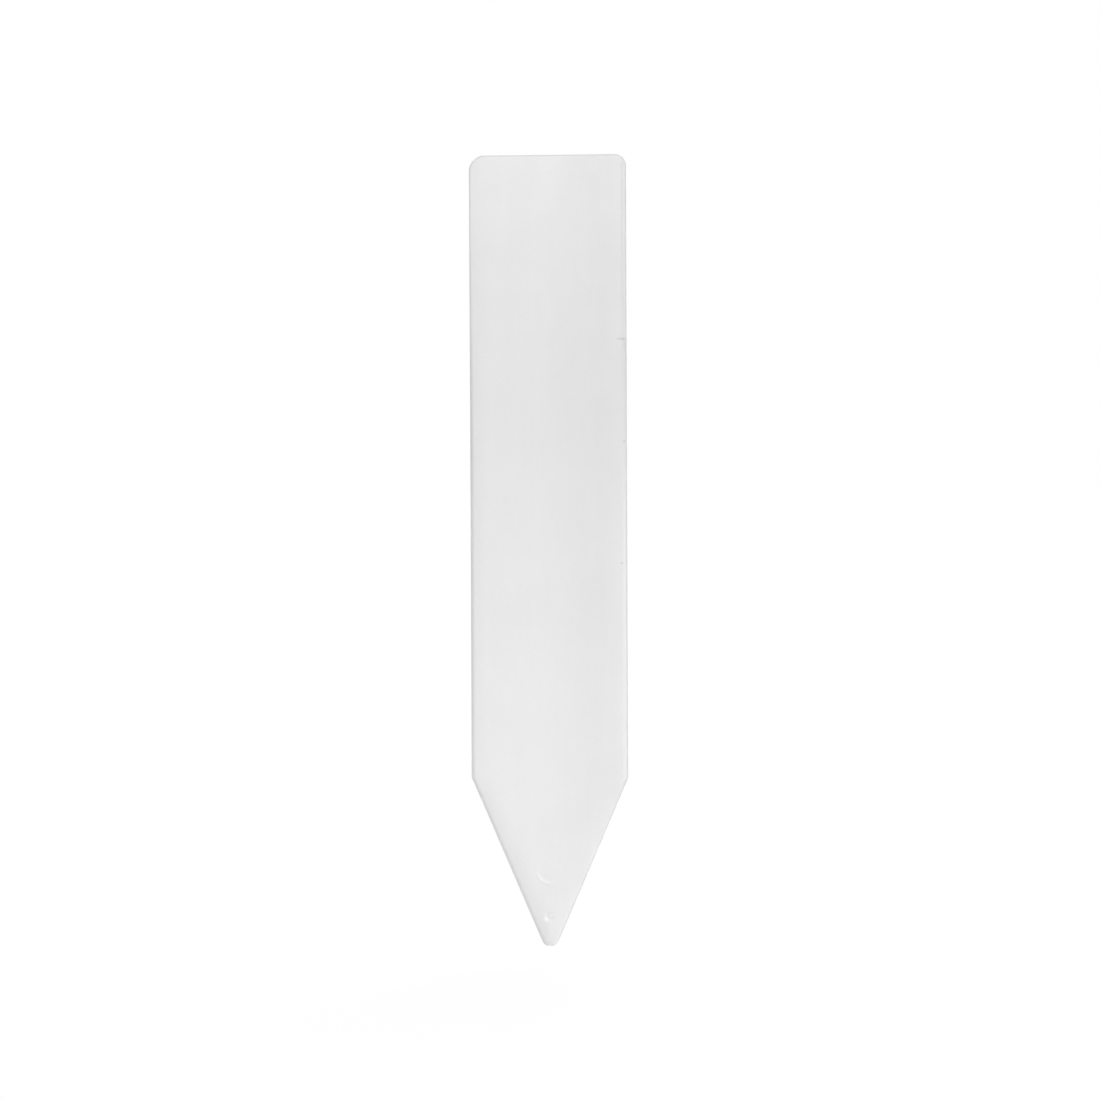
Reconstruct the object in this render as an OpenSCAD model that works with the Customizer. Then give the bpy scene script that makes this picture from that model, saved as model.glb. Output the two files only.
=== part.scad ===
// Plant label stake: one injection moulding, stood upright as it is used.
// The tip points down at z = 0, the writing face looks along -Y and the back lies along +Y.
// The back is the flat parting face, and all the outline sizes are measured on it.

/* [Blade] */
// Length from the top edge to the end of the tip
label_length = 100; // [60:1:200]
// Width across the straight sides
label_width = 20; // [14:0.5:40]
// Thickness at the middle of the face
label_thickness = 0.9; // [0.7:0.05:2]

/* [Head] */
// Radius of the top corner on the left of the writing face
left_corner_r = 2; // [0.5:0.05:5]
// Radius of the top corner on the right of the writing face
right_corner_r = 1.45; // [0.5:0.05:5]

/* [Tip] */
// Length of the taper from the shoulders to the end of the tip
tip_length = 21.3; // [16:0.1:40]
// Width of the blunt end, measured between the sharp corners
tip_end_width = 1.6; // [1.2:0.1:4]
// Radius of the two corners at the blunt end
tip_corner_r = 0.5; // [0.2:0.05:0.8]
// Radius of the two shoulders, where the taper starts
shoulder_r = 0.6; // [0.2:0.05:4]

/* [Edges] */
// Draft of the side walls, in degrees
draft_angle = 3; // [0:0.5:8]
// Radius of the round along the front edge
edge_r = 0.65; // [0.3:0.05:0.65]
// Width of the slight fall of the face towards its edges
crown_width = 2; // [1:0.1:4]
// Depth of that fall
crown_drop = 0.05; // [0.01:0.01:0.05]
// Radius of the soft ridges where the falls of two edges meet
ridge_r = 0.15; // [0.05:0.05:0.4]
// Further fall of the face at the slanted edges of the tip, which ends where the crown ends
bevel_drop = 0.3; // [0:0.05:0.4]
// Length below the shoulders over which that fall sets in
bevel_fade = 4; // [1:0.5:10]

/* [Ejector-pin mark] */
// Diameter of the pin
pin_mark_d = 3.3; // [2:0.1:4]
// Height of its centre above the end of the tip
pin_mark_height = 9.7; // [8:0.1:14]
// Depth of the mark at its deepest side
pin_mark_depth = 0.08; // [0.07:0.01:0.2]
// Tilt of the pin's end face, in degrees
pin_mark_tilt = 2; // [0:0.5:2.5]
// Direction of the deepest side, in degrees from the right of the face
pin_mark_turn = 225; // [0:5:360]

/* [Gate mark] */
// Diameter of the dimple round the gate
gate_mark_d = 1.26; // [0.8:0.02:1.8]
// Height of its centre above the end of the tip
gate_mark_height = 3.7; // [3:0.1:6]
// Depth of the dimple below the face
gate_mark_depth = 0.12; // [0.08:0.01:0.25]
// Diameter of the torn-off gate at its foot
gate_nub_d = 0.6; // [0.3:0.02:0.7]
// Diameter of the torn-off gate at its top
gate_nub_top_d = 0.3; // [0.1:0.02:0.7]
// Height of the torn-off gate above the floor of the dimple
gate_nub_height = 0.07; // [0.03:0.01:0.07]

/* [Hidden] */

// Facets of a full turn, and segments along the round and the crown of the edge
$fn = 96;
edge_steps = 8;
crown_steps = 4;
// Segments along the rounds of the head, the shoulders and the tip, and along the slants between them
head_steps = 10;
shoulder_steps = 4;
tip_steps = 6;
slant_steps = 10;
// How far cutting shapes run past the face
margin = 1;

// Slant of the tip's sides from the middle line
taper = atan((label_width - tip_end_width) / 2 / tip_length);

// The crown is an arc that meets the flat face without a step, and the edge round meets the crown
crown_slope = 2 * atan(crown_drop / crown_width);
crown_r = crown_width / sin(crown_slope);
round_v = label_thickness - crown_drop - edge_r * cos(crown_slope);
round_u = (edge_r + round_v * sin(draft_angle)) / cos(draft_angle);
crown_u = round_u - edge_r * sin(crown_slope) + crown_width;
crown_v = label_thickness - crown_r;

// Section of the edge, from the back to the flat face: each point is how far it lies inside the
// outline, and how high above the back
edge_section = concat(
    [[0, 0]],
    [for (i = [0:edge_steps])
        let (a = 180 - draft_angle - (90 - draft_angle - crown_slope) * i / edge_steps)
        [round_u + edge_r * cos(a), round_v + edge_r * sin(a)]],
    [for (i = [1:crown_steps])
        let (a = crown_slope * (1 - i / crown_steps))
        [crown_u - crown_r * sin(a), crown_v + crown_r * cos(a)]]
);

// Points along the round of one corner, whose outward side turns from one angle to another
function corner_arc(vertex, r, from, to, steps) =
    let (middle = (from + to) / 2,
         centre = vertex - r / cos((to - from) / 2) * [cos(middle), sin(middle)])
    [for (i = [0:steps])
        let (a = from + (to - from) * i / steps)
        centre + r * [cos(a), sin(a)]];

// Points between two others, without the ends
function between(start, end, steps) = [for (i = [1:steps - 1]) start + (end - start) * i / steps];

// A corner's radius shrinks as its outline moves inwards, down to the soft ridge
function inner_r(r, inset) = max(r - inset, ridge_r);

// The label's outline moved inwards, anticlockwise as seen from the front
function outline(inset) =
    let (side = label_width / 2 - inset,
         top = label_length - inset,
         slant_inset = inset / cos(taper) - tip_end_width / 2,
         tip_side = max(inset * tan(taper) - slant_inset, ridge_r),
         tip_end = (tip_side + slant_inset) / tan(taper),
         shoulder = (side + slant_inset) / tan(taper),
         tip_r = inner_r(tip_corner_r, inset),
         side_r = inner_r(shoulder_r, inset),
         right_tip = corner_arc([tip_side, tip_end], tip_r, -90, -taper, tip_steps),
         right_shoulder = corner_arc([side, shoulder], side_r, -taper, 0, shoulder_steps),
         left_shoulder = corner_arc([-side, shoulder], side_r, 180, 180 + taper, shoulder_steps),
         left_tip = corner_arc([-tip_side, tip_end], tip_r, 180 + taper, 270, tip_steps))
    concat(
        right_tip,
        between(right_tip[tip_steps], right_shoulder[0], slant_steps),
        right_shoulder,
        corner_arc([side, top], inner_r(right_corner_r, inset), 0, 90, head_steps),
        corner_arc([-side, top], inner_r(left_corner_r, inset), 90, 180, head_steps),
        left_shoulder,
        between(left_shoulder[shoulder_steps], left_tip[0], slant_steps),
        left_tip
    );

// Share of the thickness that is left at a point near the slanted edges
function bevelled(p) =
    let (from_slant = (tip_end_width / 2 + p.y * tan(taper) - abs(p.x)) * cos(taper),
         edge_share = max(1 - from_slant / crown_u, 0),
         below = min(max((tip_length - p.y) / bevel_fade, 0), 1),
         fade = below * below * (3 - 2 * below))
    1 - bevel_drop / label_thickness * edge_share * edge_share * fade;

// The blade lying on its back: a loft of the outline along the section of its edge
module blade() {
    ring_count = len(edge_section);
    ring_size = len(outline(0));
    last_ring = (ring_count - 1) * ring_size;
    points = [for (s = edge_section) each [for (p = outline(s.x)) [p.x, p.y, s.y * bevelled(p)]]];
    back = [for (i = [0:ring_size - 1]) i];
    front = [for (i = [ring_size - 1:-1:0]) last_ring + i];
    sides = [for (k = [0:ring_count - 2]) each
        [for (i = [0:ring_size - 1])
            let (a = k * ring_size + i,
                 b = k * ring_size + (i + 1) % ring_size)
            each [[a, a + ring_size, b + ring_size], [a, b + ring_size, b]]]];
    polyhedron(points, concat([back, front], sides));
}

// The recess of the ejector pin, whose end face lies a little askew
module pin_mark() {
    floor_depth = pin_mark_depth - pin_mark_d / 2 * tan(pin_mark_tilt);
    translate([0, pin_mark_height, label_thickness - floor_depth])
        rotate([0, pin_mark_tilt, pin_mark_turn])
            cylinder(h = margin, d = pin_mark_d);
}

// The dimple round the gate, with the torn-off gate standing inside it
module gate_mark() {
    translate([0, gate_mark_height, label_thickness - gate_mark_depth])
        difference() {
            cylinder(h = margin, d = gate_mark_d);
            cylinder(h = gate_nub_height, d1 = gate_nub_d, d2 = gate_nub_top_d);
        }
}

module label_stake() {
    color([0.9, 0.9, 0.9])
        translate([0, label_thickness / 2, 0])
            rotate([90, 0, 0])
                difference() {
                    blade();
                    pin_mark();
                    gate_mark();
                }
}

label_stake();
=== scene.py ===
"""Looks of the plant label stake: one white moulding, in metres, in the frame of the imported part."""

import math

import bpy
import numpy as np
from mathutils import Matrix, Vector
from mathutils.geometry import delaunay_2d_cdt


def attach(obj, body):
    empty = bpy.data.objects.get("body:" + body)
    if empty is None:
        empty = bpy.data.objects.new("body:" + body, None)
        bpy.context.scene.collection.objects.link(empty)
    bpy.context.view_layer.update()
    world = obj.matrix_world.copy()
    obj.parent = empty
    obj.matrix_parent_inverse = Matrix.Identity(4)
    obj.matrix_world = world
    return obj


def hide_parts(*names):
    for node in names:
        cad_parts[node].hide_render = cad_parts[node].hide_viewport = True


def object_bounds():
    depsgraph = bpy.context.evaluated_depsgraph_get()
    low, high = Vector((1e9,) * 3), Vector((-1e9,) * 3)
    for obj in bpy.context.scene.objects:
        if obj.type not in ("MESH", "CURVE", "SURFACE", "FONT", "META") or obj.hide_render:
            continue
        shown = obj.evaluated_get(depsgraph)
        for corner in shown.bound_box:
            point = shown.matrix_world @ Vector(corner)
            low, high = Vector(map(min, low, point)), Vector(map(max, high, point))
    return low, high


MM = 0.001

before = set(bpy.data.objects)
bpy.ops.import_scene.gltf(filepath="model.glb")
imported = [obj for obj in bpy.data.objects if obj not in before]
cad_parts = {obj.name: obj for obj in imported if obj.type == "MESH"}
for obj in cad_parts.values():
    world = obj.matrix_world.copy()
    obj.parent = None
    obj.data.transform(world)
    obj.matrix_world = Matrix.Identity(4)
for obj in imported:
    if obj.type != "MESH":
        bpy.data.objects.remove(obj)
cad_low, cad_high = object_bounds()

# The label's own sizes, from the frame
LABEL_WIDTH = cad_high.x - cad_low.x
LABEL_LENGTH = cad_high.z - cad_low.z
LABEL_THICKNESS = cad_high.y - cad_low.y
BACK_Y = cad_high.y

# Outline
TIP_LENGTH = 21.3 * MM
TIP_END_WIDTH = 1.6 * MM
TIP_CORNER_R = 0.7 * MM
SHOULDER_R = 0.6 * MM
LEFT_CORNER_R = 2.0 * MM
RIGHT_CORNER_R = 1.45 * MM
TAPER = math.atan((LABEL_WIDTH - TIP_END_WIDTH) / 2 / TIP_LENGTH)

# Edge: a thin lip at the parting face, a drafted wall, a round and a soft crown
LIP_HEIGHT = 0.05 * MM
LIP_STEP = 0.018 * MM
DRAFT = math.radians(3)
EDGE_R = 0.65 * MM
HEAD_EDGE_R = 0.3 * MM
EDGE_CHANGE_START = 62 * MM
EDGE_CHANGE_END = 94 * MM
CROWN_WIDTH = 2.0 * MM
CROWN_DROP = 0.05 * MM
RIDGE_R = 0.15 * MM
EDGE_STEPS = 11
FLANK_STEPS = 3
CROWN_STEPS = 9
TIP_STEPS = 8
SHOULDER_STEPS = 6
HEAD_STEPS = 16

# Bevel: a further fall of the face towards the slanted edges of the tip, which ends with the crown
BEVEL_DROP = 0.3 * MM
BEVEL_FADE = 4.0 * MM
# Along the left side the face falls a little more too, and less so where the edge is sharper
LEFT_DROP = 0.09 * MM
HEAD_LEFT_DROP = 0.03 * MM
LEFT_WIDTH = 2.2 * MM
# It also falls towards the blunt end of the tip
END_DROP = 0.22 * MM
END_WIDTH = 1.1 * MM

# How softly two falls of the face meet
BLEND_REACH = 2 * RIDGE_R

# Points of the mesh: along the outline, over the face and over the back
POINT_SPACING = 0.9 * MM
SIDE_LOW = TIP_LENGTH + 2 * MM
SIDE_HIGH = LABEL_LENGTH - 3 * MM
FIELD_SPACING = 1.1 * MM
FIELD_GAP = 0.5 * MM
CLOSEST = 0.02 * MM
BACK_ROW_SPACING = 2.0 * MM
BACK_COLUMN_SPACING = 1.8 * MM
BACK_COLUMNS = 5
BACK_GAP = 0.8 * MM
# Rings of points round the two marks
MARK_RING_SPACING = 0.12 * MM
MARK_WALL_SPACING = 0.036 * MM
MARK_WALL_GAP = 0.04 * MM
MARK_POINT_SPACING = 0.08 * MM
MARK_CLEARANCE = 0.12 * MM
MARK_FEWEST = 8
# How much the straight rim is bent for the triangulation, and what that one takes and gives
BULGE = 80.0
EPSILON = 1e-10
TRIANGLES_INSIDE = 1
ROUND_TRIES = 20

# Ejector-pin mark
PIN_CENTRE = Vector((0.11 * MM, 9.67 * MM))
PIN_R = 1.65 * MM
PIN_DEPTH = 0.08 * MM
PIN_TILT = math.radians(2)
PIN_TURN = math.radians(235)
PIN_SHARP_ANGLE = math.radians(34)
PIN_SOFT_ANGLE = math.radians(49)
PIN_WALL_START = 1.41 * MM
PIN_WALL_END = 1.75 * MM
PIN_SOFT_START = 0.7 * MM
PIN_BURR_R = 1.79 * MM
PIN_BURR_WIDTH = 0.12 * MM
PIN_BURR = 0.028 * MM
PIN_RINGS_START = PIN_WALL_START - 0.1 * MM
PIN_RINGS_END = PIN_BURR_R + 2 * PIN_BURR_WIDTH
FACE_LEVEL = LABEL_THICKNESS - PIN_BURR

# Gate mark
GATE_CENTRE = Vector((0.0, 3.7 * MM))
GATE_R = 0.63 * MM
GATE_DEPTH = 0.11 * MM
GATE_NUB_CENTRE = GATE_CENTRE + Vector((0.14 * MM, 0.1 * MM))
GATE_NUB_R = 0.36 * MM
GATE_NUB_HEIGHT = 0.09 * MM
GATE_BOWL_START = 0.35 * GATE_R
GATE_BOWL_END = 1.2 * GATE_R
GATE_NUB_START = 0.2
GATE_NUB_END = 1.35
GATE_NUB_SHARE = 0.95
GATE_RINGS_START = 0.12 * MM
GATE_RINGS_END = 1.3 * GATE_R
# The torn edge of the gate: two waves round it, by their number, depth and turn
GATE_TEAR_COUNT = 3
GATE_TEAR = 0.16
GATE_TEAR_TURN = 0.6
GATE_FINE_TEAR_COUNT = 5
GATE_FINE_TEAR = 0.1

# Nick in the right edge, and the bruised edge under it
NICK_HEIGHT = 76.68 * MM
NICK_INNER_X = 8.5 * MM
NICK_HALF_WIDTH = 0.22 * MM
NICK_DEPTH = 0.26 * MM
NICK_TAPER = 0.6
NICK_BITE = 0.8
NICK_SHALLOWING = 0.5
BRUISE_LENGTH = 1.7 * MM
BRUISE_FADE = 0.05 * MM
BRUISE_PUSH = 0.02 * MM
# The strip along the right edge that nick and bruise push
PUSHED_START = LABEL_WIDTH / 2 - 0.35 * MM
PUSHED_END = LABEL_WIDTH / 2 - 0.05 * MM
# Closer points along the sides, from below the bruise to above the nick
FINE_SPACING = 0.11 * MM
FINE_LOW = NICK_HEIGHT - BRUISE_LENGTH - 0.4 * MM
FINE_HIGH = NICK_HEIGHT + 0.5 * MM

# Camera, fitted to the outline in the photograph
CAMERA_AZIMUTH = math.radians(8.2)
CAMERA_ELEVATION = math.radians(1.14)
CAMERA_ROLL = math.radians(-0.23)
CAMERA_DISTANCE = 700 * MM
CAMERA_TARGET = Vector((0.187 * MM, 0.0, 50.115 * MM))
CAMERA_SENSOR = 36.0
CAMERA_FIELD = 139.01 * MM
CAMERA_NEAREST = 0.05
CAMERA_FURTHEST = 20

# Floor: its tone, how bright it looks where no shadow falls, and half its width in metres
FLOOR_TONE = 0.9
FLOOR_SEEN = 1.01
FLOOR_HALF = 6.0

# Light: a pale room, a soft lamp in front, one to the right and one behind
WORLD_LIGHT = 0.36
FRONT_AZIMUTH = math.radians(-2)
FRONT_ELEVATION = math.radians(8)
FRONT_LIGHT = 0.452
FRONT_SOFTNESS = math.radians(30)
SIDE_AZIMUTH = math.radians(60)
SIDE_ELEVATION = math.radians(8)
SIDE_LIGHT = 0.4
SIDE_SOFTNESS = math.radians(30)
REAR_AZIMUTH = math.radians(180)
REAR_ELEVATION = math.radians(12)
REAR_LIGHT = 0.5
REAR_SOFTNESS = math.radians(40)

# White plastic
SLOT = "white_plastic"
PLASTIC_TONE = 0.83
PLASTIC_ROUGHNESS = 0.5
PLASTIC_IOR = 1.49
PLASTIC_DEPTH = 0.4 * MM
SMOOTH_ANGLE = math.radians(32)
# From here on, lengths are in millimetres, as in the material's own space
# Painted shading along the label: height, and share of the full tone. It is painted shade that darkens the
# upper middle and the last millimetres of the tip, and painted light that brightens the very end of the tip,
# which the floor shades
PAINTED_SHADING_STOPS = (
    (0, 1.08), (0.5, 0.965), (1.5, 0.975), (4, 0.995), (14, 1.005), (30, 0.997),
    (46, 0.97), (70, 0.934), (76, 0.935), (85, 0.943), (98, 0.97),
)
# Painted shade: the tone falls a little towards the right side, and more along the upper part of the right
# edge
RIGHT_PAINTED_SHADE = 0.968
RIGHT_TONE_START = -2
RIGHT_TONE_END = 7
RIGHT_EDGE_PAINTED_SHADE = 0.93
RIGHT_EDGE_START = 9.2
RIGHT_EDGE_END = 9.7
RIGHT_EDGE_LOW = 48
RIGHT_EDGE_HIGH = 76
# The marks' tints are full on the face and end behind the middle of the thickness
TINT_FULL_Y = -0.1
TINT_END_Y = 0.3
# Share by which the tone is raised as a painted highlight on the wall at the deep side of the pin mark and on
# the lower left wall of the gate's dimple
PIN_PAINTED_HIGHLIGHT = 0.03
PIN_ARC_SOFTNESS = 0.1
GATE_PAINTED_HIGHLIGHT = 0.07
GATE_HIGHLIGHT_PLACE = (-0.35, 3.45)
GATE_HIGHLIGHT_R = 0.32
GATE_HIGHLIGHT_SOFTNESS = 0.2
# Share by which it is darker: painted shade in the nick, and darker along the bruise under it; and how long
# and wide that is
NICK_SHADE_AND_BRUISE_DARKENING = 0.08
NICK_SHADE_PLACE = (9.35, 76.68)
NICK_SHADE_R = 0.11
NICK_SHADE_SOFTNESS = 0.1
NICK_SHADE_STRETCH = (0.22, 1)
BRUISE_DARKENING_PLACE = (9.84, 75.83)
BRUISE_DARKENING_R = 0.1
BRUISE_DARKENING_SOFTNESS = 0.06
BRUISE_DARKENING_STRETCH = (1, 0.13)
# Specks in the plastic: right of the middle line and up from the tip
SPECKS = ((9.4, 48.45), (9.72, 63.8))
SPECK_R = 0.12
SPECK_SOFTNESS = 0.06
SPECK_DARKENING = 0.22
# Noises: grains to the millimetre along each axis, detail, lowest and highest value
CLOUD_NOISE = ((0.15, 0.15, 0.1), 3, 0.992, 1.008)
FLOW_NOISE = ((1.1, 1.1, 0.06), 2, 0.995, 1.005)
SPECKLE_NOISE = ((4, 4, 4), 2, 0.99, 1.01)
# Patches of the painted highlight on the pin mark's wall
PIN_HIGHLIGHT_NOISE = ((2.5, 2.5, 2.5), 2, 0, 1)
SHEEN_NOISE = ((0.5, 0.5, 0.35), 3, PLASTIC_ROUGHNESS - 0.06, PLASTIC_ROUGHNESS + 0.06)
# Noises of the skin, whose values are heights in metres
GRAIN_NOISE = ((5, 5, 5), 3, 0, 0.005 * MM)
WAVE_NOISE = ((0.35, 0.35, 0.22), 1, 0, 0.015 * MM)
# The part of a noise's own range that is spread out
NOISE_LOW = 0.25
NOISE_HIGH = 0.75
# How much smoother the face is where the polished pin pressed
PIN_POLISH = 0.12
PIN_POLISH_SOFTNESS = 0.2


# Outline and section

def corner_arc(vertex, radius, start, end, steps):
    """Points round a corner whose outward side turns from one angle to another."""
    middle = (start + end) / 2
    reach = radius / math.cos((end - start) / 2)
    centre = vertex - reach * Vector((math.cos(middle), math.sin(middle)))
    points = []
    for i in range(steps + 1):
        angle = start + (end - start) * i / steps
        points.append(centre + radius * Vector((math.cos(angle), math.sin(angle))))
    return points


def spread(start, end, count):
    """Points between two others, without the ends."""
    return [start.lerp(end, i / count) for i in range(1, count)]


def side_heights():
    """Heights of the points along the straight sides, closer together at the nick."""
    below = np.arange(SIDE_LOW, FINE_LOW, POINT_SPACING)
    fine = np.arange(FINE_LOW, FINE_HIGH, FINE_SPACING)
    above = np.arange(FINE_HIGH, SIDE_HIGH, POINT_SPACING)
    return [float(z) for part in (below, fine, above) for z in part]


SIDE_HEIGHTS = side_heights()


def outline(inset):
    """The label's outline moved inwards, anticlockwise from the tip as seen from the front."""
    side = LABEL_WIDTH / 2 - inset
    top = LABEL_LENGTH - inset
    slant_inset = inset / math.cos(TAPER) - TIP_END_WIDTH / 2
    tip_side = max(inset * math.tan(TAPER) - slant_inset, RIDGE_R)
    tip_end = (tip_side + slant_inset) / math.tan(TAPER)
    shoulder = (side + slant_inset) / math.tan(TAPER)
    quarter = math.pi / 2

    def radius(full):
        return max(full - inset, RIDGE_R)

    slant_count = round(TIP_LENGTH / math.cos(TAPER) / POINT_SPACING)
    top_count = round(LABEL_WIDTH / POINT_SPACING)
    tip_r = radius(TIP_CORNER_R)
    shoulder_r = radius(SHOULDER_R)
    left_start = math.pi + TAPER
    right_tip = corner_arc(Vector((tip_side, tip_end)), tip_r, -quarter, -TAPER, TIP_STEPS)
    right_shoulder = corner_arc(Vector((side, shoulder)), shoulder_r, -TAPER, 0, SHOULDER_STEPS)
    right_head = corner_arc(Vector((side, top)), radius(RIGHT_CORNER_R), 0, quarter, HEAD_STEPS)
    left_head = corner_arc(Vector((-side, top)), radius(LEFT_CORNER_R), quarter, math.pi, HEAD_STEPS)
    left_shoulder = corner_arc(Vector((-side, shoulder)), shoulder_r, math.pi, left_start, SHOULDER_STEPS)
    left_tip = corner_arc(Vector((-tip_side, tip_end)), tip_r, left_start, 3 * quarter, TIP_STEPS)
    return [
        *right_tip,
        *spread(right_tip[-1], right_shoulder[0], slant_count),
        *right_shoulder,
        *[Vector((side, z)) for z in SIDE_HEIGHTS],
        *right_head,
        *spread(right_head[-1], left_head[0], top_count),
        *left_head,
        *[Vector((-side, z)) for z in reversed(SIDE_HEIGHTS)],
        *left_shoulder,
        *spread(left_shoulder[-1], left_tip[0], slant_count),
        *left_tip,
    ]


# The crown is an arc that meets the flat face without a step, and the edge round meets the crown
CROWN_SLOPE = 2 * math.atan(CROWN_DROP / CROWN_WIDTH)
CROWN_R = CROWN_WIDTH / math.sin(CROWN_SLOPE)
ROUND_V = FACE_LEVEL - CROWN_DROP - EDGE_R * math.cos(CROWN_SLOPE)
ROUND_U = (EDGE_R + ROUND_V * math.sin(DRAFT)) / math.cos(DRAFT)
CROWN_START = ROUND_U - EDGE_R * math.sin(CROWN_SLOPE)
CROWN_END = CROWN_START + CROWN_WIDTH
CROWN_CENTRE_V = FACE_LEVEL - CROWN_R


def smooth_step(low, high, value):
    """0 at one value and 1 at another, with a soft change between them."""
    share = min(max((value - low) / (high - low), 0.0), 1.0)
    return share * share * (3 - 2 * share)


def crown_height(inset):
    """Height of the plain face above the back, so far inside the outline."""
    from_flat = max(CROWN_END - inset, 0.0)
    return CROWN_CENTRE_V + math.sqrt(CROWN_R ** 2 - from_flat ** 2)


def round_centre(edge_r):
    """Centre of the round that touches the drafted wall and the crown: inset and height."""
    height = ROUND_V
    for _ in range(ROUND_TRIES):
        inset = (edge_r + height * math.sin(DRAFT)) / math.cos(DRAFT)
        height = CROWN_CENTRE_V + math.sqrt((CROWN_R - edge_r) ** 2 - (CROWN_END - inset) ** 2)
    return inset, height


def edge_section(edge_r, flank_steps):
    """Inset and height of the points from the parting face to the crown, the last ones on its flank."""
    section = [(0.0, 0.0), (0.0, LIP_HEIGHT), (LIP_STEP, LIP_HEIGHT + LIP_STEP)]
    centre_u, centre_v = round_centre(edge_r)
    steps = EDGE_STEPS - flank_steps
    first = math.pi - DRAFT
    last = math.pi / 2 + math.asin((CROWN_END - centre_u) / (CROWN_R - edge_r))
    for i in range(steps + 1):
        angle = first + (last - first) * i / steps
        section.append((centre_u + edge_r * math.cos(angle), centre_v + edge_r * math.sin(angle)))
    start = section[-1][0]
    for i in range(1, flank_steps + 1):
        inset = start + (CROWN_START - start) * i / flank_steps
        section.append((inset, crown_height(inset)))
    return section


def edge_rings():
    """Rings of the edge, whose round is full along the blade and sharper towards the top."""
    rings = []
    for full, sharp in zip(edge_section(EDGE_R, 0), edge_section(HEAD_EDGE_R, FLANK_STEPS)):
        ring = []
        for full_point, sharp_point in zip(outline(full[0]), outline(sharp[0])):
            share = smooth_step(EDGE_CHANGE_START, EDGE_CHANGE_END, full_point.y)
            point = full_point.lerp(sharp_point, share)
            ring.append((point.x, point.y, full[1] + (sharp[1] - full[1]) * share))
        rings.append(ring)
    return rings


# Height of the face

def smooth_min(a, b, reach):
    """The smaller of two lengths, rounded off where they are nearly equal."""
    overlap = max(reach - abs(a - b), 0.0) / reach
    return min(a, b) - overlap * overlap * reach / 4


def slant_inset_at(x, z):
    """How far a point of the face lies inside the two slanted edges."""
    reach = TIP_END_WIDTH / 2 + z * math.tan(TAPER)
    return smooth_min((reach + x) * math.cos(TAPER), (reach - x) * math.cos(TAPER), BLEND_REACH)


def bevel(x, z):
    """Fall of the face towards the slanted edges."""
    share = max(1 - slant_inset_at(x, z) / CROWN_END, 0.0)
    return BEVEL_DROP * share * share * smooth_step(TIP_LENGTH, TIP_LENGTH - BEVEL_FADE, z)


def left_fall(x, z):
    """Further fall of the face along the left side."""
    share = max(1 - (LABEL_WIDTH / 2 + x) / LEFT_WIDTH, 0.0)
    change = smooth_step(EDGE_CHANGE_START, EDGE_CHANGE_END, z)
    return (LEFT_DROP + (HEAD_LEFT_DROP - LEFT_DROP) * change) * share * share


def end_fall(z):
    """Further fall of the face towards the end of the tip."""
    share = max(1 - z / END_WIDTH, 0.0)
    return END_DROP * share * share


def inset_at(x, z):
    """How far a point of the face lies inside the outline."""
    corner_r = RIGHT_CORNER_R if x > 0 else LEFT_CORNER_R
    from_side = LABEL_WIDTH / 2 - abs(x)
    from_top = LABEL_LENGTH - z
    if from_side < corner_r and from_top < corner_r:
        head = corner_r - math.hypot(corner_r - from_side, corner_r - from_top)
    else:
        head = smooth_min(from_side, from_top, BLEND_REACH)
    tip = smooth_min(slant_inset_at(x, z), z, BLEND_REACH)
    return smooth_min(head, tip, BLEND_REACH)


def pin_mark(x, z):
    """Depth of the ejector-pin mark: a wall and a burr at its deep side, and a soft slope elsewhere."""
    offset = Vector((x, z)) - PIN_CENTRE
    distance = offset.length
    deep_side = Vector((math.cos(PIN_TURN), math.sin(PIN_TURN)))
    along = offset.dot(deep_side)
    facing = along / max(distance, EPSILON)
    sharp = smooth_step(math.cos(PIN_SOFT_ANGLE), math.cos(PIN_SHARP_ANGLE), facing)
    floor = PIN_DEPTH + (along - PIN_R) * math.tan(PIN_TILT)
    wall_start = PIN_SOFT_START + (PIN_WALL_START - PIN_SOFT_START) * sharp
    inside = 1 - smooth_step(wall_start, PIN_WALL_END, distance)
    burr = PIN_BURR * sharp * math.exp(-((distance - PIN_BURR_R) / PIN_BURR_WIDTH) ** 2)
    return max(floor, 0.0) * inside - burr


def gate_mark(x, z):
    """Depth of the dimple round the gate, with the torn-off gate in it."""
    from_middle = (Vector((x, z)) - GATE_CENTRE).length
    bowl = GATE_DEPTH * (1 - smooth_step(GATE_BOWL_START, GATE_BOWL_END, from_middle))
    offset = Vector((x, z)) - GATE_NUB_CENTRE
    turn = math.atan2(offset.y, offset.x)
    tear = GATE_TEAR * math.sin(GATE_TEAR_COUNT * turn + GATE_TEAR_TURN)
    fine_tear = GATE_FINE_TEAR * math.sin(GATE_FINE_TEAR_COUNT * turn)
    ragged = GATE_NUB_R * (1 + tear + fine_tear)
    nub = GATE_NUB_HEIGHT * (1 - smooth_step(GATE_NUB_START * ragged, GATE_NUB_END * ragged, offset.length))
    return bowl - min(nub, GATE_NUB_SHARE * bowl)


def nick_depth(x, z):
    """Depth of the V-shaped nick that runs in from the right edge."""
    along = (x - NICK_INNER_X) / (LABEL_WIDTH / 2 - NICK_INNER_X)
    if along <= 0:
        return 0.0
    across = 1 - abs(z - NICK_HEIGHT) / (NICK_HALF_WIDTH * (1 - NICK_TAPER * (1 - along)))
    return NICK_DEPTH * along * max(across, 0.0)


def face_height(x, z):
    """Height of the face above the back."""
    return crown_height(inset_at(x, z)) - pin_mark(x, z) - gate_mark(x, z)


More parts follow.
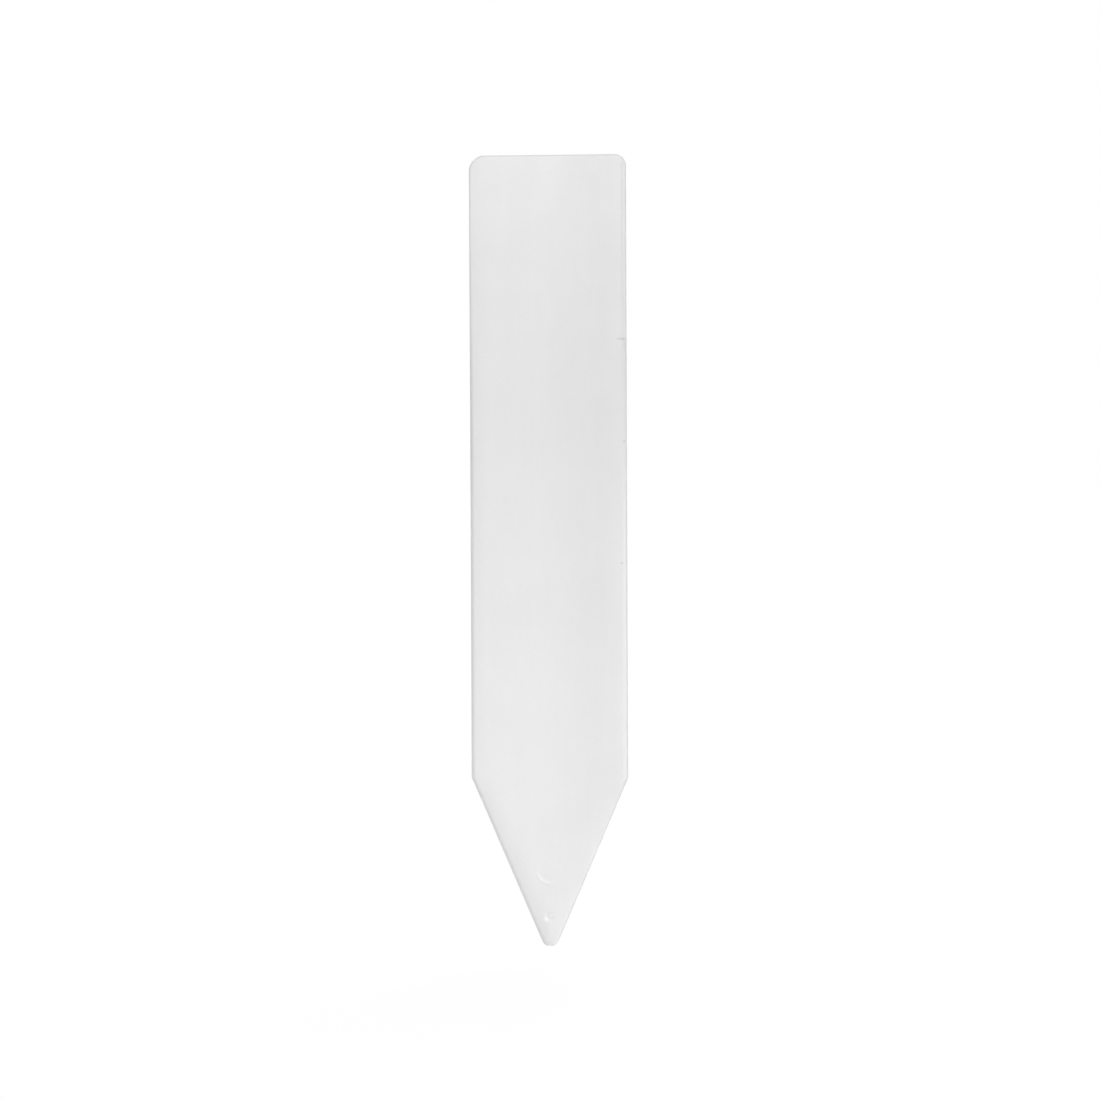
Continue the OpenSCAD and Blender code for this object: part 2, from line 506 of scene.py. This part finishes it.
def dented(x, z, v):
    """A point of the skin after the falls of the face, the nick and the bruise at the right edge."""
    v = v * (1 - (bevel(x, z) + left_fall(x, z) + end_fall(z)) / LABEL_THICKNESS)
    depth = nick_depth(x, z)
    front_share = max(v - LIP_HEIGHT - LIP_STEP, 0.0) / LABEL_THICKNESS
    edge_share = smooth_step(PUSHED_START, PUSHED_END, x)
    below = NICK_HEIGHT - z
    bruise = smooth_step(BRUISE_LENGTH + BRUISE_FADE, BRUISE_LENGTH - BRUISE_FADE, below)
    bruised = bruise if below > 0 else 0.0
    push = BRUISE_PUSH * bruised * edge_share * front_share
    x_new = x + push - NICK_BITE * depth * edge_share * front_share
    v_new = v - depth * front_share * (1 - NICK_SHALLOWING * edge_share)
    return x_new, z, v_new


# Mesh

def field_points():
    """Points of the face inside the rim: rings along the crown, rings round the marks and a grid."""
    marks = []
    for centre, radii in (
        (PIN_CENTRE, mark_radii(PIN_RINGS_START, PIN_RINGS_END)),
        (GATE_CENTRE, mark_radii(GATE_RINGS_START, GATE_RINGS_END)),
    ):
        marks.append((centre, radii[-1] + MARK_CLEARANCE))
        yield centre
        for number, radius in enumerate(radii):
            count = max(MARK_FEWEST, round(2 * math.pi * radius / MARK_POINT_SPACING))
            for i in range(count):
                turn = 2 * math.pi * (i + 0.5 * (number % 2)) / count
                yield centre + radius * Vector((math.cos(turn), math.sin(turn)))

    def free(point):
        return all((point - centre).length > reach for centre, reach in marks)

    for i in range(1, CROWN_STEPS + 1):
        ring = outline(CROWN_START + CROWN_WIDTH * i / CROWN_STEPS)
        previous = None
        for point in ring:
            if free(point) and (previous is None or (point - previous).length > CLOSEST):
                yield point
                previous = point
    columns = round(LABEL_WIDTH / FIELD_SPACING)
    rows = round(LABEL_LENGTH / FIELD_SPACING)
    for row in range(rows):
        for column in range(-columns, columns):
            x = (column + 0.5 * (row % 2)) * FIELD_SPACING
            z = row * FIELD_SPACING
            point = Vector((x, z))
            if inset_at(x, z) > CROWN_END + FIELD_GAP and free(point):
                yield point


def mark_radii(wall_start, wall_end):
    """Radii of the rings of points round a mark, close together at its wall."""
    inner = np.arange(MARK_RING_SPACING, wall_start - MARK_WALL_GAP, MARK_RING_SPACING)
    outer = np.arange(wall_start, wall_end, MARK_WALL_SPACING)
    return [float(r) for part in (inner, outer) for r in part]


def bulged(point):
    """The point pulled in a little, more so when far out: straight stretches of the rim become convex."""
    middle = Vector((0.0, LABEL_LENGTH / 2))
    offset = point - middle
    return middle + offset * (1 - BULGE * offset.length_squared)


def fill(rim, inner):
    """Triangles over the rim and the points inside it, as numbers of points, the rim's first."""
    points = [bulged(point) for point in rim + inner]
    rim_edges = [(i, (i + 1) % len(rim)) for i in range(len(rim))]
    rim_faces = [list(range(len(rim)))]
    made = delaunay_2d_cdt(points, rim_edges, rim_faces, TRIANGLES_INSIDE, EPSILON, True)
    triangles, sources = made[2], made[3]
    return [[sources[corner][0] for corner in triangle] for triangle in triangles]


def back_points():
    """A coarse grid of points over the flat back."""
    points = []
    for row in range(1, round(LABEL_LENGTH / BACK_ROW_SPACING)):
        for column in range(-BACK_COLUMNS, BACK_COLUMNS + 1):
            x = column * BACK_COLUMN_SPACING
            z = row * BACK_ROW_SPACING
            if inset_at(x, z) > BACK_GAP:
                points.append(Vector((x, z)))
    return points


def build_mesh():
    """Closed mesh: walls from ring to ring, the face over the last ring and the back over the first."""
    rings = edge_rings()
    size = len(rings[0])
    vertices = [dented(*point) for ring in rings for point in ring]
    faces = []
    for k in range(len(rings) - 1):
        for i in range(size):
            a = k * size + i
            b = k * size + (i + 1) % size
            faces.append((a, b, b + size, a + size))
    face_inner = list(field_points())
    face_rim = (len(rings) - 1) * size
    faces += numbered(fill(outline(CROWN_START), face_inner), size, face_rim, len(vertices))
    vertices += [dented(p.x, p.y, face_height(p.x, p.y)) for p in face_inner]
    back_inner = back_points()
    back = numbered(fill(outline(0.0), back_inner), size, 0, len(vertices))
    faces += [list(reversed(triangle)) for triangle in back]
    vertices += [(p.x, p.y, 0.0) for p in back_inner]
    mesh = bpy.data.meshes.new("label_moulding")
    mesh.from_pydata([(x, BACK_Y - v, z) for x, z, v in vertices], [], faces)
    return mesh


def numbered(triangles, rim_size, rim_start, inner_start):
    """Triangles of fill() with the numbers that their points have in the whole mesh."""
    def number(i):
        return rim_start + i if i < rim_size else inner_start + i - rim_size

    return [[number(i) for i in triangle] for triangle in triangles]


# Materials

def link(tree, source, target):
    """Join an output of one node to an input of another."""
    tree.links.new(source, target)


def scaled_place(tree, scale):
    """Place on the label in millimetres, stretched by a factor along each axis."""
    place = tree.nodes.new("ShaderNodeTexCoord")
    scaling = tree.nodes.new("ShaderNodeVectorMath")
    scaling.operation = "MULTIPLY"
    scaling.inputs[1].default_value = [factor / MM for factor in scale]
    link(tree, place.outputs["Object"], scaling.inputs[0])
    return scaling.outputs["Vector"]


def noise(tree, scale, detail, low, high):
    """Noise with so many grains to the millimetre along each axis, spread between two values."""
    texture = tree.nodes.new("ShaderNodeTexNoise")
    texture.inputs["Scale"].default_value = 1.0
    texture.inputs["Detail"].default_value = detail
    link(tree, scaled_place(tree, scale), texture.inputs["Vector"])
    spread_out = tree.nodes.new("ShaderNodeMapRange")
    spread_out.inputs["From Min"].default_value = NOISE_LOW
    spread_out.inputs["From Max"].default_value = NOISE_HIGH
    spread_out.inputs["To Min"].default_value = low
    spread_out.inputs["To Max"].default_value = high
    link(tree, texture.outputs["Fac"], spread_out.inputs["Value"])
    return spread_out.outputs["Result"]


def combine(tree, operation, first, second):
    """The sum, product or other result of two numbers or sockets."""
    node = tree.nodes.new("ShaderNodeMath")
    node.operation = operation
    for value, socket in zip((first, second), node.inputs):
        if isinstance(value, (int, float)):
            socket.default_value = value
        else:
            link(tree, value, socket)
    return node.outputs["Value"]


def painted_slow_shading(tree):
    """Painted shade along the label and towards its right edge, and painted light at the end of the tip."""
    parts = tree.nodes.new("ShaderNodeSeparateXYZ")
    link(tree, scaled_place(tree, (1, 1, 1)), parts.inputs["Vector"])
    length = LABEL_LENGTH / MM
    ramp = tree.nodes.new("ShaderNodeValToRGB")
    ramp.color_ramp.interpolation = "EASE"
    stops = ramp.color_ramp.elements
    while len(stops) < len(PAINTED_SHADING_STOPS):
        stops.new(0.5)
    for stop, (height, tone) in zip(stops, PAINTED_SHADING_STOPS):
        stop.position = height / length
        stop.color = (tone, tone, tone, 1)
    link(tree, combine(tree, "DIVIDE", parts.outputs["Z"], length), ramp.inputs["Fac"])
    on_right = soft_range(tree, parts.outputs["X"], RIGHT_TONE_START, RIGHT_TONE_END)
    at_edge = soft_range(tree, parts.outputs["X"], RIGHT_EDGE_START, RIGHT_EDGE_END)
    high_up = soft_range(tree, parts.outputs["Z"], RIGHT_EDGE_LOW, RIGHT_EDGE_HIGH)
    edge_share = combine(tree, "MULTIPLY", at_edge, high_up)
    # Painted shade towards the right side
    whole = tinted(tree, ramp.outputs["Color"], on_right, RIGHT_PAINTED_SHADE - 1)
    # Painted shade along the upper part of the right edge
    return tinted(tree, whole, edge_share, RIGHT_EDGE_PAINTED_SHADE - 1)


def soft_range(tree, value, low, high):
    """The same as smooth_step, as nodes."""
    fade = tree.nodes.new("ShaderNodeMapRange")
    fade.interpolation_type = "SMOOTHSTEP"
    fade.inputs["From Min"].default_value = low
    fade.inputs["From Max"].default_value = high
    link(tree, value, fade.inputs["Value"])
    return fade.outputs["Result"]


def tinted(tree, tone, share, change):
    """The tone raised by a part of itself, or lowered, where the share is 1."""
    factor = combine(tree, "ADD", combine(tree, "MULTIPLY", share, change), 1)
    return combine(tree, "MULTIPLY", tone, factor)


def front_side(tree):
    """1 on the face and the front of its edges, and 0 on the back."""
    parts = tree.nodes.new("ShaderNodeSeparateXYZ")
    link(tree, scaled_place(tree, (1, 1, 1)), parts.inputs["Vector"])
    return soft_range(tree, parts.outputs["Y"], TINT_END_Y, TINT_FULL_Y)


def near(tree, x, z, radius, softness, stretch=(1, 1)):
    """1 within a radius of a place seen from the front, in millimetres, and 0 outside."""
    place = tree.nodes.new("ShaderNodeVectorMath")
    place.operation = "DISTANCE"
    place.inputs[1].default_value = (x * stretch[0], 0, z * stretch[1])
    link(tree, scaled_place(tree, (stretch[0], 0, stretch[1])), place.inputs[0])
    return soft_range(tree, place.outputs["Value"], radius + softness, radius - softness)


def pin_highlight_arc(tree):
    """1 along the wall at the deep side of the ejector-pin mark, where the highlight is painted."""
    x, z = PIN_CENTRE / MM
    outer = near(tree, x, z, PIN_WALL_END / MM, PIN_ARC_SOFTNESS)
    inner = near(tree, x, z, PIN_WALL_START / MM, PIN_ARC_SOFTNESS)
    offset = tree.nodes.new("ShaderNodeVectorMath")
    offset.operation = "SUBTRACT"
    offset.inputs[1].default_value = (x, 0, z)
    link(tree, scaled_place(tree, (1, 0, 1)), offset.inputs[0])
    direction = tree.nodes.new("ShaderNodeVectorMath")
    direction.operation = "NORMALIZE"
    link(tree, offset.outputs["Vector"], direction.inputs[0])
    facing = tree.nodes.new("ShaderNodeVectorMath")
    facing.operation = "DOT_PRODUCT"
    facing.inputs[1].default_value = (math.cos(PIN_TURN), 0, math.sin(PIN_TURN))
    link(tree, direction.outputs["Vector"], facing.inputs[0])
    start = math.cos(PIN_SOFT_ANGLE)
    end = math.cos(PIN_SHARP_ANGLE)
    window = soft_range(tree, facing.outputs["Value"], start, end)
    return combine(tree, "MULTIPLY", combine(tree, "SUBTRACT", outer, inner), window)


def front_tints(tree):
    """Shares and changes of tone: painted highlights at the pin and gate marks, darker specks, painted shade
    in the nick and darker along the bruise.
    """
    patches = noise(tree, *PIN_HIGHLIGHT_NOISE)
    # Painted highlight on the wall at the deep side of the pin mark, in patches
    yield combine(tree, "MULTIPLY", pin_highlight_arc(tree), patches), PIN_PAINTED_HIGHLIGHT
    # Painted highlight on the lower left wall of the gate's dimple
    yield near(tree, *GATE_HIGHLIGHT_PLACE, GATE_HIGHLIGHT_R, GATE_HIGHLIGHT_SOFTNESS), GATE_PAINTED_HIGHLIGHT
    for x, z in SPECKS:
        yield near(tree, x, z, SPECK_R, SPECK_SOFTNESS), -SPECK_DARKENING
    # Painted shade in the nick
    yield near(tree, *NICK_SHADE_PLACE, NICK_SHADE_R, NICK_SHADE_SOFTNESS, NICK_SHADE_STRETCH), -NICK_SHADE_AND_BRUISE_DARKENING
    # Darker along the bruise under the nick
    yield near(tree, *BRUISE_DARKENING_PLACE, BRUISE_DARKENING_R, BRUISE_DARKENING_SOFTNESS, BRUISE_DARKENING_STRETCH), -NICK_SHADE_AND_BRUISE_DARKENING


def white_plastic():
    """White, slightly translucent plastic with the fine matt skin of a spark-eroded mould."""
    material = bpy.data.materials.new(SLOT)
    material.use_nodes = True
    tree = material.node_tree
    shader = tree.nodes["Principled BSDF"]
    shader.subsurface_method = "RANDOM_WALK"
    shader.inputs["IOR"].default_value = PLASTIC_IOR
    shader.inputs["Subsurface Weight"].default_value = 1.0
    shader.inputs["Subsurface Radius"].default_value = (1.0, 1.0, 1.0)
    shader.inputs["Subsurface Scale"].default_value = PLASTIC_DEPTH

    # Tone: clouds, flow lines along the length and a fine speckle over the slow painted shading, then the
    # tints of front_tints
    tone = combine(tree, "MULTIPLY", painted_slow_shading(tree), PLASTIC_TONE)
    for layer in (CLOUD_NOISE, FLOW_NOISE, SPECKLE_NOISE):
        tone = combine(tree, "MULTIPLY", tone, noise(tree, *layer))
    for share, change in front_tints(tree):
        tone = tinted(tree, tone, combine(tree, "MULTIPLY", share, front_side(tree)), change)
    link(tree, tone, shader.inputs["Base Color"])

    # Sheen: uneven over the face, and a little smoother where the polished pin pressed
    sheen = noise(tree, *SHEEN_NOISE)
    pin = near(tree, *(PIN_CENTRE / MM), PIN_R / MM, PIN_POLISH_SOFTNESS)
    sheen = combine(tree, "SUBTRACT", sheen, combine(tree, "MULTIPLY", pin, PIN_POLISH))
    link(tree, sheen, shader.inputs["Roughness"])

    # Skin: the mould's matt grain over a faint waviness, as heights in metres
    grain = noise(tree, *GRAIN_NOISE)
    waves = noise(tree, *WAVE_NOISE)
    bump = tree.nodes.new("ShaderNodeBump")
    bump.inputs["Distance"].default_value = 1.0
    link(tree, combine(tree, "ADD", grain, waves), bump.inputs["Height"])
    link(tree, bump.outputs["Normal"], shader.inputs["Normal"])
    return material


def floor_material(extra):
    """Near-white floor: it keeps shadows, and the camera sees it as white where none falls."""
    material = bpy.data.materials.new("pale_floor")
    material.use_nodes = True
    tree = material.node_tree
    tree.nodes.clear()
    output = tree.nodes.new("ShaderNodeOutputMaterial")
    diffuse = tree.nodes.new("ShaderNodeBsdfDiffuse")
    diffuse.inputs["Color"].default_value = (FLOOR_TONE, FLOOR_TONE, FLOOR_TONE, 1)
    glow = tree.nodes.new("ShaderNodeEmission")
    total = tree.nodes.new("ShaderNodeAddShader")
    link(tree, background_rays(tree, extra, 0.0), glow.inputs["Strength"])
    link(tree, diffuse.outputs["BSDF"], total.inputs[0])
    link(tree, glow.outputs["Emission"], total.inputs[1])
    link(tree, total.outputs["Shader"], output.inputs["Surface"])
    return material


def background_rays(tree, seen, lighting):
    """A strength that is one value to the camera and to reflections, and another as a light."""
    path = tree.nodes.new("ShaderNodeLightPath").outputs
    rays = combine(tree, "MAXIMUM", path["Is Camera Ray"], path["Is Glossy Ray"])
    rays = combine(tree, "MAXIMUM", rays, path["Is Transmission Ray"])
    chosen = tree.nodes.new("ShaderNodeMapRange")
    chosen.inputs["To Min"].default_value = lighting
    chosen.inputs["To Max"].default_value = seen
    link(tree, rays, chosen.inputs["Value"])
    return chosen.outputs["Result"]


# Scene

def build_label():
    """The piece that stands for the moulding."""
    mesh = build_mesh()
    label = bpy.data.objects.new("label_moulding", mesh)
    bpy.context.scene.collection.objects.link(label)
    mesh.shade_smooth()
    mesh.set_sharp_from_angle(angle=SMOOTH_ANGLE)
    mesh.materials.append(white_plastic())
    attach(label, "root")
    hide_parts("label_stake")
    return label


def build_floor():
    """A wide floor that looks white where no shadow falls."""
    mesh = bpy.data.meshes.new("floor")
    corners = [(x * FLOOR_HALF, y * FLOOR_HALF, 0) for x, y in ((-1, -1), (1, -1), (1, 1), (-1, 1))]
    mesh.from_pydata(corners, [], [(0, 1, 2, 3)])
    floor = bpy.data.objects.new("floor", mesh)
    bpy.context.scene.collection.objects.link(floor)
    lamps = (
        (FRONT_LIGHT, FRONT_ELEVATION),
        (SIDE_LIGHT, SIDE_ELEVATION),
        (REAR_LIGHT, REAR_ELEVATION),
    )
    lit = FLOOR_TONE * (WORLD_LIGHT + sum(light * math.sin(elevation) for light, elevation in lamps))
    mesh.materials.append(floor_material(FLOOR_SEEN - lit))


def build_world():
    """A pale room: white to look at, and a weaker light on the label."""
    world = bpy.data.worlds.new("studio")
    bpy.context.scene.world = world
    world.use_nodes = True
    tree = world.node_tree
    background = tree.nodes["Background"]
    background.inputs["Color"].default_value = (1, 1, 1, 1)
    link(tree, background_rays(tree, 1.0, WORLD_LIGHT), background.inputs["Strength"])


def towards(azimuth, elevation):
    """Unit vector from the object: azimuth 0 is the front, and a quarter turn is its right."""
    level = math.cos(elevation)
    return Vector((math.sin(azimuth) * level, -math.cos(azimuth) * level, math.sin(elevation)))


def build_lamp(name, azimuth, elevation, strength, softness, highlights=True):
    """A soft, even lamp: a white surface that faces it squarely shows that strength."""
    light = bpy.data.lights.new(name, "SUN")
    light.energy = strength * math.pi
    light.angle = softness
    lamp = bpy.data.objects.new(name, light)
    lamp.rotation_mode = "QUATERNION"
    lamp.rotation_quaternion = towards(azimuth, elevation).to_track_quat("Z", "Y")
    lamp.visible_glossy = highlights
    bpy.context.scene.collection.objects.link(lamp)


def build_camera():
    """The view of the photograph."""
    data = bpy.data.cameras.new("camera")
    data.sensor_width = CAMERA_SENSOR
    data.lens = CAMERA_SENSOR * CAMERA_DISTANCE / CAMERA_FIELD
    data.clip_start = CAMERA_NEAREST
    data.clip_end = CAMERA_FURTHEST
    camera = bpy.data.objects.new("camera", data)
    back = towards(CAMERA_AZIMUTH, CAMERA_ELEVATION)
    turned = back.to_track_quat("Z", "Y").to_matrix().to_4x4() @ Matrix.Rotation(CAMERA_ROLL, 4, "Z")
    camera.matrix_world = Matrix.Translation(CAMERA_TARGET + back * CAMERA_DISTANCE) @ turned
    bpy.context.scene.collection.objects.link(camera)
    bpy.context.scene.camera = camera


bpy.context.scene.view_settings.view_transform = "Standard"
build_camera()
build_world()
build_lamp("front_lamp", FRONT_AZIMUTH, FRONT_ELEVATION, FRONT_LIGHT, FRONT_SOFTNESS)
build_lamp("side_lamp", SIDE_AZIMUTH, SIDE_ELEVATION, SIDE_LIGHT, SIDE_SOFTNESS)
build_lamp("rear_lamp", REAR_AZIMUTH, REAR_ELEVATION, REAR_LIGHT, REAR_SOFTNESS, highlights=False)
build_floor()
build_label()
